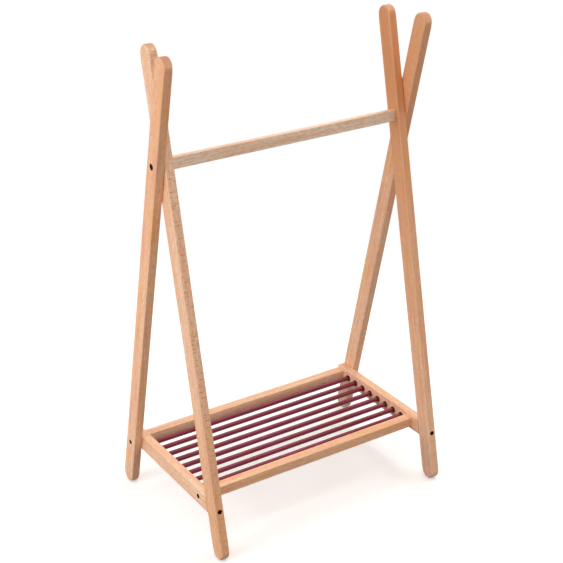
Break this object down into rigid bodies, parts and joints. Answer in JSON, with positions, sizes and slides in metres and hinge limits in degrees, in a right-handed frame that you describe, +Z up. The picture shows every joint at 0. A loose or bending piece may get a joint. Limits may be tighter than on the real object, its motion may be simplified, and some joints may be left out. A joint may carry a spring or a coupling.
{
  "type": "clothes rack",
  "caption": "Freestanding wooden clothes rack: crossed legs at each end, a hanging bar between the crossings and a low shelf of coated metal rods.",
  "frame": {"origin": "on the floor, under the middle of the hanging bar", "axes": "+X along the hanging bar, -Y to the front, where the front feet stand, +Z up"},
  "size_m": [0.688, 0.444, 1.1525],
  "materials": {
    "beech": "clear satin lacquer on pale beech",
    "rod_coating": "semi-gloss maroon powder coat on steel tube",
    "sleeve_plastic": "matt, near-black maroon",
    "fastener_steel": "dark bronze-toned plating",
    "dowel_wood": "raw, unlacquered"
  },
  "bodies": {
    "root": {"leg_front_left": "beech", "leg_front_right": "beech", "leg_back_left": "beech", "leg_back_right": "beech", "hanging_bar": "beech", "side_rail_left": "beech", "side_rail_right": "beech", "shelf_rail_front": "beech", "shelf_rail_back": "beech", "shelf_rod_1": "rod_coating", "shelf_rod_2": "rod_coating", "shelf_rod_3": "rod_coating", "shelf_rod_4": "rod_coating", "shelf_rod_5": "rod_coating", "shelf_rod_6": "rod_coating", "shelf_rod_7": "rod_coating", "shelf_rod_8": "rod_coating", "rod_sleeves_left": "sleeve_plastic", "rod_sleeves_right": "sleeve_plastic", "crossing_bolts": "fastener_steel", "front_leg_screws": "fastener_steel", "back_leg_screws": "fastener_steel", "shelf_rail_screws": "fastener_steel", "shelf_rail_dowels": "dowel_wood"}
  },
  "joints": []
}
